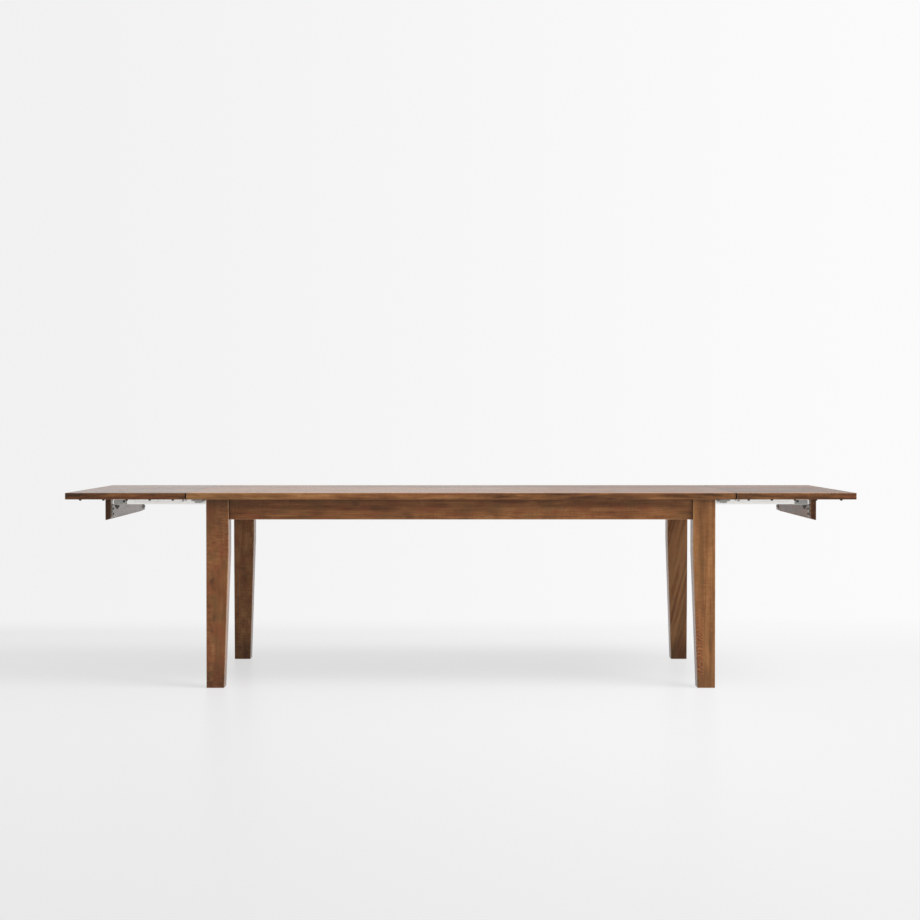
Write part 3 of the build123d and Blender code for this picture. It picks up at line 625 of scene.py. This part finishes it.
def cross_recess(top):
    """A driver's cross, wide above the head and narrower at the bottom of the recess."""
    rings = []
    for height, size in ((top - RECESS_DEPTH, RECESS_TAPER[0]), (top + RECESS_OVER_HEAD, RECESS_TAPER[1])):
        width, reach = RECESS_HALF_WIDTH * size, RECESS_HALF_LENGTH * size
        quarter = [(reach, -width), (reach, width), (width, width)]
        ring = []
        for turn in range(4):
            for across, up in quarter:
                for _ in range(turn):
                    across, up = -up, across
                ring.append((across, up, height))
        rings.append(ring)
    return lathe(rings)


def pan_screw():
    """A pan-head screw with a cross in its head, whose seat is at the origin."""
    rings = []
    for radius, height in SCREW_SHANK + SCREW_HEAD:
        rings += turned(lambda level, share: radius, [height], AROUND_HEAD)
    return carved(lathe(rings), cross_recess(SCREW_HEAD[-1][1]))


screw = pan_screw()
clip_screws = []
for count, clip_x in enumerate(CLIP_PLACES):
    for out_y in (-1, 1):
        apron_y, apron_z = CLIP_APRON_SEAT
        top_y, top_z = CLIP_TOP_SEAT
        clip_screws.append(placed(screw, (clip_x, out_y * apron_y, apron_z), (0, -out_y, 0), 0.5 * count))
        clip_screws.append(placed(screw, (clip_x, out_y * top_y, top_z), DOWN, 0.8 + 0.7 * count))
wear("top_clips", zinc_steel)
set_in("clip_wood_screws", clip_screws, "frame", "top_clip_screws", zinc_steel)

# Runners: three extruded aluminium bars at each corner, each hung on the next by a tongue in a T slot.
# They are anodised a pale satin silver, with faint lines from the die, and the fixed bars are screwed up
# through their lower face.

SILVER_PALE = (248, 246, 243)
SILVER_DULL = (232, 230, 226)
SLIDE_GREY = (186, 186, 186)
RUNNER_SCREW_X = (0.48, 0.67, 0.86)
RUNNER_SCREW_SEAT = (0.3855, 0.6945)

anodised, start, shader = finish_for("anodised_aluminium")
place = start.node("TexCoord", {}, {}, "Object")
x, y, z = place.parts()
die_lines = start.vector(x * 3, y * 900, z * 900).cloud(detail=3, roughness=0.6)
slide_marks = start.vector(x * 12, y * 260, z * 260).cloud(detail=2).step(0.62, 0.75)
cloudy = place.cloud(scale=24, detail=3)
silver = start.node("ValToRGB", {"stops": [(0.0, SILVER_DULL), (1.0, SILVER_PALE)]},
                    {"Fac": die_lines * 0.6 + cloudy * 0.4})
connect(shader, Base_Color=silver.over(SLIDE_GREY, slide_marks * 0.3),
        Roughness=0.2 + (die_lines - 0.5) * 0.14 + (cloudy - 0.5) * 0.08 - slide_marks * 0.04,
        Normal=bumped(die_lines, 0.06, 0.0001))
shader.inputs["Metallic"].default_value = 1
runner_screws = []
for corner in LEG_CUTS:
    for bar in ("fixed", "middle", "moving"):
        wear(f"{corner}_{bar}_runner", anodised)
    out_x, out_y = corner_signs(corner)
    for count, screw_x in enumerate(RUNNER_SCREW_X):
        screw_y, screw_z = RUNNER_SCREW_SEAT
        seat = (out_x * screw_x, out_y * screw_y, screw_z)
        runner_screws.append(placed(screw, seat, DOWN, 0.6 * count))
set_in("runner_wood_screws", runner_screws, "frame", "runner_screws", zinc_steel)

# End aprons: boards of the stained hardwood across the ends, which pull out on the runners and carry
# the leaves. The inner bottom edge is planed back as a grip for the fingers.

# The end aprons' end grain is darkened more than elsewhere: partly the end grain taking more stain, partly
# painted shade under the leaves.
END_CUTS = {"left": ((-1.45, 0.62), 3.2, -0.04, 0.2), "right": ((1.29, 0.74), 7.4, 0.04, 0.33)}
for side, (heart, shift, tone, gloss) in END_CUTS.items():
    apron = f"{side}_end_apron"
    wear(apron, solid_wood(f"{apron}_wood", "Y", heart, shift, box_edges(apron), tone=tone, gloss=gloss,
                           red=0.2, end_stain=0.6))

# Brackets and their fasteners: bent zinc-plated steel between the runners and the end aprons. Each is held
# up under its runner by a washer and a nut on a threaded stud, and by one screw in the cheek and two in the
# wood. The fasteners are drawn in a dark steel, which is partly painted shade round them.

BRACKET_DULL = (130, 131, 128)
BRACKET_PALE = (192, 192, 188)
# Colours of the dark steel of the bracket fasteners, partly painted shade.
DARK_STEEL_DULL = (42, 42, 41)
DARK_STEEL_PALE = (108, 109, 107)
STUD_PLACE = (1.323, 0.3597)
STUD_TOP = 0.7125
STUD_LENGTH = 0.036
WASHER_TOP = 0.6915
WASHER_RADIUS = 0.01
WASHER_THICKNESS = 0.002
WASHER_RIM = 0.0005
CHEEK_SCREW_SEAT = (1.295, 0.3697, 0.7055)
APRON_SCREW_SEATS = ((1.339, 0.3532, 0.6765), (1.339, 0.3532, 0.6565))


def washer():
    """A plain washer up the Z axis from its seat, with rounded rims from the press."""
    section = [(BOLT_RADIUS, 0.0), (WASHER_RADIUS, 0.0), (WASHER_RADIUS, WASHER_THICKNESS - WASHER_RIM),
               (WASHER_RADIUS - WASHER_RIM, WASHER_THICKNESS), (BOLT_RADIUS, WASHER_THICKNESS)]
    rings = []
    for radius, height in section:
        rings += turned(lambda level, share: radius, [height], AROUND_NUT)
    return lathe(rings, looped=True)


# The brackets and the latch levers take a darker copy of the zinc plate: painted shade for the dark wood that
# the steel reflects.
bracket_steel = plated("bracket_steel", 0.42, BRACKET_DULL, BRACKET_PALE)
dark_steel = plated("dark_steel", 0.36, DARK_STEEL_DULL, DARK_STEEL_PALE)
for side in END_CUTS:
    fasteners = []
    for row in ("front", "back"):
        corner = f"{row}_{side}"
        wear(f"{corner}_bracket", bracket_steel)
        out_x, out_y = corner_signs(corner)
        stud_x, stud_y = out_x * STUD_PLACE[0], out_y * STUD_PLACE[1]
        nut_top = WASHER_TOP - WASHER_THICKNESS
        stud = threaded_rod(STUD_LENGTH, STUD_LENGTH / 2)
        fasteners.append(placed(stud, (stud_x, stud_y, STUD_TOP), DOWN))
        fasteners.append(placed(washer(), (stud_x, stud_y, WASHER_TOP), DOWN))
        fasteners.append(placed(flange_nut(), (stud_x, stud_y, nut_top), DOWN, 0.3))
        screw_x, screw_y, screw_z = CHEEK_SCREW_SEAT
        seat = (out_x * screw_x, out_y * screw_y, screw_z)
        fasteners.append(placed(screw, seat, (0, out_y, 0), 0.35))
        for count, (screw_x, screw_y, screw_z) in enumerate(APRON_SCREW_SEATS):
            seat = (out_x * screw_x, out_y * screw_y, screw_z)
            fasteners.append(placed(screw, seat, (-out_x, 0, 0), 0.9 * count))
    set_in(f"{side}_bracket_fasteners", fasteners, f"{side}_extension", f"{side}_bracket_screws", dark_steel)

# Latches: stamped steel levers that turn on pins under the main panel's ends and hook on headed studs
# under the leaves. Their plates are held by two flat-head screws each, and all of it is zinc plated.

wear("latch_pivots", zinc_steel)
for corner in LEG_CUTS:
    wear(f"{corner}_latch_lever", bracket_steel)
for side in END_CUTS:
    wear(f"{side}_leaf_latch_studs", zinc_steel)

# Leaves: end panels made up and finished as the main panel is. They are set on the pulled-out end aprons
# and located by beech dowels in their inner edges.

LEAF_CUTS = {"left": ((0.05, 0.70), 7.6, -0.12, 0.24), "right": ((-0.05, 0.64), 22.85, -0.25, 0.33)}
LEAF_START = 1.0435
DOWEL_BEECH = [(0.0, (176, 140, 102)), (0.5, (198, 163, 124)), (1.0, (214, 184, 148))]
for side, (heart, shift, tone, gloss) in LEAF_CUTS.items():
    leaf = f"{side}_leaf"
    joint = LEAF_START if side == "right" else -LEAF_START
    wear(leaf, solid_wood(f"{leaf}_wood", "X", heart, shift, upper_edges(leaf), boards=TOP_BOARD_WIDTH,
                          tone=tone, gloss=gloss, tints=0.6, rubbing_and_highlight=0.2, joints=(joint,)))
    wear(f"{leaf}_dowels", solid_wood(f"{leaf}_dowel_wood", "X", heart, shift, box_edges(f"{leaf}_dowels"),
                                      stain=DOWEL_BEECH, tints=0.12, gloss=0.6, end_stain=0.15))

# Bumpers: small moulded buttons of dark rubber under the leaves' long edges, glued in a row so that a
# leaf can be stacked or set down without marking.

RUBBER_BLACK = (22, 18, 16)
RUBBER_GREY = (41, 35, 31)
DUST_GREY = (88, 80, 72)

bumper_rubber, start, shader = finish_for("bumper_rubber")
place = start.node("TexCoord", {}, {}, "Object")
grit = place.cloud(scale=1400, detail=3, roughness=0.7)
dust = place.cloud(scale=130, detail=3)
rubber = start.node("ValToRGB", {"stops": [(0.0, RUBBER_BLACK), (1.0, RUBBER_GREY)]}, {"Fac": grit})
connect(shader, Base_Color=rubber.over(DUST_GREY, dust.step(0.55, 0.8) * 0.25),
        Roughness=0.72 + (grit - 0.5) * 0.2, Normal=bumped(grit, 0.2, 0.0003))
for side in LEAF_CUTS:
    wear(f"{side}_leaf_bumpers", bumper_rubber)

# Stage: a pale studio floor that fades into a white background, one large soft lamp from the upper right
# and even light from all round, weaker on the left. The camera stands straight in front, a little above
# the table top.

FLOOR_RADIUS = 30
FLOOR_RINGS = (1.5, 3.0, 6.0, 12.0, FLOOR_RADIUS)
FLOOR_SPOKES = 48
WALL_LEFT = (241, 241, 241)
WALL_RIGHT = (251, 251, 251)
FLOOR_LEFT = (243, 243, 243)
FLOOR_RIGHT = (242, 242, 242)
FLOOR_FRONT = (239, 239, 239)
FRONT_DISTANCE = 7.5
FLOOR_GREY = 0.68
FLOOR_SHINE = 0.2
EVEN_LIGHT = 0.4
EVEN_LIGHT_TO_RIGHT = 0.08
LAMP_SIZE = (3.4, 3.6)
LAMP_POWER = 450
LAMP_PLACE = (3.4, -1.9, 4.8)
CAMERA_PLACE = (-0.003, -7.5194, 0.987)
CAMERA_TILT = 0.98
LENS_LENGTH = 72.793
SENSOR_WIDTH = 36

floor_mesh = bpy.data.meshes.new("studio_floor")
points = [(0, 0, 0)]
faces = []
for ring in FLOOR_RINGS:
    for spoke in range(FLOOR_SPOKES):
        turn = 2 * math.pi * spoke / FLOOR_SPOKES
        points.append((ring * math.cos(turn), ring * math.sin(turn), 0))
for spoke in range(FLOOR_SPOKES):
    following = (spoke + 1) % FLOOR_SPOKES
    faces.append((0, 1 + spoke, 1 + following))
    for ring in range(len(FLOOR_RINGS) - 1):
        inner, outer = 1 + ring * FLOOR_SPOKES, 1 + (ring + 1) * FLOOR_SPOKES
        faces.append((inner + spoke, outer + spoke, outer + following, inner + following))
floor_mesh.from_pydata(points, [], faces)
floor = bpy.data.objects.new("studio_floor", floor_mesh)
bpy.context.scene.collection.objects.link(floor)


def seen_directly(start):
    """1 for what the camera, a mirror or a glass shows, and 0 for light that is passed on."""
    rays = [start.node("LightPath", {}, {}, f"Is {ray} Ray") for ray in ("Camera", "Glossy", "Transmission")]
    return rays[0].most(rays[1]).most(rays[2])


def side_to_side(start, to_right, left, right):
    """A colour that turns into another towards the lamp's side."""
    return start.node("ValToRGB", {"stops": [(0.0, left), (1.0, right)]}, {"Fac": to_right.step(-0.3, 0.3)})


floor_paint, start, shader = finish_for("studio_floor_paint")
place = start.node("TexCoord", {}, {}, "Object")
x, y, z = place.parts()
distance = start.vector(x, y, 0).size()
grit = place.cloud(scale=3, detail=4)
connect(shader, Roughness=0.34 + (grit - 0.5) * 0.06)
shader.inputs["Base Color"].default_value = (FLOOR_GREY, FLOOR_GREY, FLOOR_GREY, 1)
shader.inputs["Specular IOR Level"].default_value = FLOOR_SHINE
to_right = x / (distance + FRONT_DISTANCE)
far_away = distance.step(3.0, 11.0).most(y.step(0.2, 2.2))
near_glow = side_to_side(start, to_right, FLOOR_LEFT, FLOOR_RIGHT)
near_glow = near_glow.over(FLOOR_FRONT, (0 - y).step(1.2, 4.0))
far_glow = side_to_side(start, to_right, WALL_LEFT, WALL_RIGHT)
glow_colour = start.node("Mix", {"data_type": "RGBA"}, {0: far_away, 6: near_glow, 7: far_glow}, 2)
glow = start.node("Emission", {}, {"Color": glow_colour, "Strength": 1.0})
# The glow takes a larger share towards the right, which lays painted light over the table's shadow there.
share = seen_directly(start) * (0.7 + 0.22 * x.step(0.4, 1.4)).most(far_away)
lit = start.node("MixShader", {}, {0: share, 1: Wire(start.tree, shader.outputs[0]), 2: glow})
behind = start.node("NewGeometry", {}, {}, "Backfacing")
clear = start.node("BsdfTransparent", {}, {})
both = start.node("MixShader", {}, {0: behind, 1: lit, 2: clear})
output = start.tree.nodes["Material Output"]
start.tree.links.new(both.socket, output.inputs["Surface"])
floor_mesh.materials.append(floor_paint)

world = bpy.data.worlds.new("studio")
world.use_nodes = True
bpy.context.scene.world = world
start = Wire(world.node_tree)
to_right = start.node("TexCoord", {}, {}, "Generated").parts()[0]
even_light = start.node("Background", {}, {"Color": (1, 1, 1, 1),
                                           "Strength": EVEN_LIGHT + EVEN_LIGHT_TO_RIGHT * to_right})
white_wall = start.node("Background", {}, {"Color": side_to_side(start, to_right, WALL_LEFT, WALL_RIGHT)})
sky = start.node("MixShader", {}, {0: seen_directly(start), 1: even_light, 2: white_wall})
world_output = world.node_tree.nodes["World Output"]
world.node_tree.links.new(sky.socket, world_output.inputs["Surface"])

soft_box = bpy.data.lights.new("soft_box", "AREA")
soft_box.shape = "RECTANGLE"
soft_box.size, soft_box.size_y = LAMP_SIZE
soft_box.energy = LAMP_POWER
lamp = bpy.data.objects.new("soft_box", soft_box)
lamp.location = LAMP_PLACE
lamp.rotation_euler = (-lamp.location).to_track_quat("-Z", "Y").to_euler()
bpy.context.scene.collection.objects.link(lamp)

view_camera = bpy.data.cameras.new("front_view")
view_camera.lens = LENS_LENGTH
view_camera.sensor_width = SENSOR_WIDTH
camera = bpy.data.objects.new("front_view", view_camera)
camera.location = CAMERA_PLACE
camera.rotation_euler = (math.radians(90 - CAMERA_TILT), 0, 0)
bpy.context.scene.collection.objects.link(camera)
bpy.context.scene.camera = camera
bpy.context.scene.view_settings.view_transform = "Standard"
